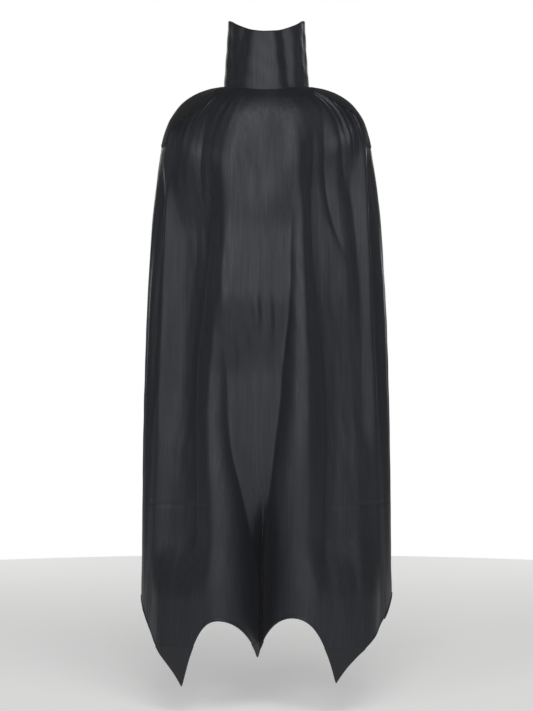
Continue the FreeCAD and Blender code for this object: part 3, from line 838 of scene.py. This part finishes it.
def collarLow(turn):
    # the neck seam rises over the shoulders and drops in front; the overlapping end is free of it
    cosine = np.cos(turn * degree)
    seam = 0.008 * np.sin(turn * degree) ** 2 - 0.010 * np.clip(-cosine, 0, 1) ** 2 - 0.004
    free = fade(turn, collar["split"], collar["split"] + 26)
    return seam + (collar["endLow"] - seam) * free


def collarBand(name, turns, layers, material, thick, side=1):
    # layers are (share of the height, depth, extra height) up the band's section
    turn = np.linspace(*turns)
    low, top = collarLow(turn), collarTop(turn)
    rows = [collarPoint(turn, low + (top - low) * share + extra, depth)
            for share, depth, extra in layers]
    return sheetFrom(name, np.array(rows), material, thick, side)


def outerSection():
    # up the outside, over the top edge and a little way down the inside
    deep = collar["depth"]
    section = [(t, 0, 0) for t in np.linspace(0, 0.97, collar["rows"])]
    section += [(0.985, 0.0001, 0), (0.995, 0.0004, 0)]
    for a in np.linspace(0.3, math.pi, 9):
        section.append((1, deep / 2 * (1 - math.cos(a)), deep / 2 * (math.sin(a) - 1)))
    return section + [(1, deep, -deep / 2 - drop) for drop in (0.002, 0.005, 0.009)]


standing = (collar["underEnd"], collar["split"], collar["columns"])
ending = (collar["split"], collar["overEnd"], 120)


def withEnd(piece):
    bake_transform(piece)


for word, turns, node in (("collar", standing, "collar"), ("collarEnd", ending, "collar_end")):
    deep = collar["depth"]
    flats = [(t, deep - 0.0003, -0.004 * (t > 0.9)) for t in np.linspace(0, 1, 40)]
    middles = [(t, deep / 2, -0.003 * (t > 0.9)) for t in np.linspace(0.01, 0.985, 12)]
    outer = collarBand(f"{word}Outer", turns, outerSection(), satinCloth, 0.0006)
    inner = collarBand(f"{word}Lining", turns, flats, satinCloth, 0.0004)
    stiff = collarBand(f"{word}Interlining", turns, middles, buckram, 0.0007)
    turn = np.linspace(turns[0] + 2, turns[1] - 1, 500)
    high = collarTop(turn) - 0.0055
    edging = thread(f"{word}TopStitches", collarPoint(turn, high, -0.0003),
                    collarPoint(turn, high, -0.002), topStitch)
    for piece, layer, slot in ((outer, "outer", "satin"), (inner, "lining", "satin"),
                               (stiff, "interlining", "stiffener"), (edging, None, None)):
        if word == "collar":
            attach(piece, "cape")
        else:
            withEnd(piece)
        if layer:
            standFor(f"{node}_{layer}")

# hook-and-loop tape at the front, and the binding over the neck seam inside
tapes = {"loop": (-192.5, -168.5), "hook": (168.5, 191), "low": 0.014, "high": 0.082}
for word in ("loop", "hook"):
    turn = np.linspace(*tapes[word], 44)
    # the loops face out on the under end, and the hooks lie between the two ends
    depth = -0.0007 if word == "loop" else lapAt(turn) - 0.0021
    rows = [collarPoint(turn, tapes["low"] + tapes["high"] * t, depth) for t in np.linspace(0, 1, 60)]
    tape = sheetFrom(f"{word}Tape", np.array(rows), loopPile if word == "loop" else hookPile, 0.0006)
    if word == "loop":
        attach(tape, "cape")
    else:
        withEnd(tape)
    standFor(f"closure_{word}_tape")

turn = np.linspace(-157, 157, 260)
rise = [(-.0105, .0035), (-.010, .0042), (-.004, .0044), (.002, .0043), (.0075, .0042), (.008, .0034)]
rows = [collarPoint(turn, collarLow(turn) + 0.004 + up, deep) for up, deep in rise]
binding = sheetFrom("neckBinding", np.array(rows), bindingCloth, 0.0004)
finishPiece(binding, "cape", "neck_binding")

# a ribbon loop to hang the cape by, and a blank label behind it
loop = {"radius": 0.022, "width": 0.005, "y": -0.0655, "top": -0.004}
bow = [(-1, 0.012), (-1, 0.006)] + [(a, 0) for a in np.linspace(-1, 1, 41)] + [(1, 0.006), (1, 0.012)]
ribbon = []
for wide in np.linspace(0, 1, 5):
    radius = loop["radius"] - loop["width"] * wide
    ribbon.append([(radius * math.sin(a * math.pi / 2) if abs(a) < 1 else math.copysign(radius, a),
                    loop["y"] + 0.0005 * math.sin(3 * a + wide),
                    loop["top"] + up - radius * math.cos(a * math.pi / 2)) for a, up in bow])
hanger = sheetFrom("hangerLoop", np.array(ribbon), bindingCloth, 0.0007)
finishPiece(hanger, "cape", "hanger_loop")

across, fallen = np.meshgrid(np.linspace(-1, 1, 26), np.linspace(0, 1, 36))
hangs = -0.0678 - 0.0016 * fallen ** 2 * (1 - 0.6 * across ** 2) - 0.0004 * np.sin(4 * across)
label = np.stack([0.017 * across, hangs, -0.008 - 0.047 * fallen], axis=-1)
tag = sheetFrom("careLabel", label, labelCloth, 0.0005)
finishPiece(tag, "cape", "care_label")
print("collar, closure and trims built")

# A plain pale floor, a white studio and soft lamps
studio = {
    "distance": 4.0, "eyeHigh": -0.577, "seenHeight": 1.564,
    "floorGap": 0.06, "floorRadius": 3.0, "white": 1.0, "ambient": 0.06,
    "aim": (0, 0, -0.45),
    # each lamp's place, the side of its soft square, and its power
    "lamps": [
        ((-0.1, -4.3, 0.6), 1.5, 32.0), ((-2.2, -3.6, 0.5), 1.6, 33.0), ((2.2, -3.6, 0.5), 1.6, 29.0),
        ((0.3, -2.8, 2.3), 2.0, 46.0), ((-1.5, 3.6, 0.4), 1.6, 26.0), ((1.5, 3.6, 0.4), 1.6, 26.0),
        ((-3.2, 0.4, 0.6), 1.6, 4.0), ((3.2, 0.4, 0.6), 1.6, 4.0),
    ],
}


def buildStudio():
    world = bpy.data.worlds.new("studio")
    bpy.context.scene.world = world
    world.use_nodes = True
    tree = world.node_tree
    tree.nodes.clear()
    path = addNode(tree, "ShaderNodeLightPath")
    seen = addNode(tree, "ShaderNodeBackground",
                   inputs={"Color": (1, 1, 1, 1), "Strength": studio["white"]})
    cast = addNode(tree, "ShaderNodeBackground",
                   inputs={"Color": (1, 1, 1, 1), "Strength": studio["ambient"]})
    both = addNode(tree, "ShaderNodeMixShader",
                   {0: path.outputs["Is Camera Ray"], 1: cast.outputs[0], 2: seen.outputs[0]})
    addNode(tree, "ShaderNodeOutputWorld", {0: both.outputs[0]})
    low = float(cadBox[0][2]) - studio["floorGap"]
    around = np.linspace(0, 2 * math.pi, 97)[:-1]
    reach = studio["floorRadius"]
    rim = [(reach * math.cos(a), reach * math.sin(a), low) for a in around]
    # Matt paper sweep: a pale even ground that lights the hem a little from below
    paleFloor = newMaterial("paleFloor", **{
        "Base Color": shade("#f2f2f1"), "Roughness": 0.9,
        "Emission Color": (1, 1, 1, 1), "Emission Strength": 0.22})[0]
    floor = meshFrom("floor", rim, [tuple(range(len(rim)))], paleFloor)
    for index, (place, size, power) in enumerate(studio["lamps"]):
        lamp = bpy.data.lights.new(f"softbox{index}", "AREA")
        lamp.size = size
        lamp.energy = power
        holder = bpy.data.objects.new(f"softbox{index}", lamp)
        holder.location = place
        aim = np.array(studio["aim"]) - np.array(place)
        tilt = math.atan2(math.hypot(aim[0], aim[1]), -aim[2])
        holder.rotation_euler = (tilt, 0, math.atan2(aim[1], aim[0]) - math.pi / 2)
        bpy.context.scene.collection.objects.link(holder)


def buildCamera():
    lens = bpy.data.cameras.new("camera")
    lens.sensor_fit = "VERTICAL"
    lens.angle = 2 * math.atan(studio["seenHeight"] / 2 / studio["distance"])
    holder = bpy.data.objects.new("camera", lens)
    holder.location = (0, -studio["distance"], studio["eyeHigh"])
    holder.rotation_euler = (math.pi / 2, 0, 0)
    bpy.context.scene.collection.objects.link(holder)
    bpy.context.scene.camera = holder


buildStudio()
buildCamera()
bpy.context.scene.view_settings.view_transform = "Standard"
print("studio set")
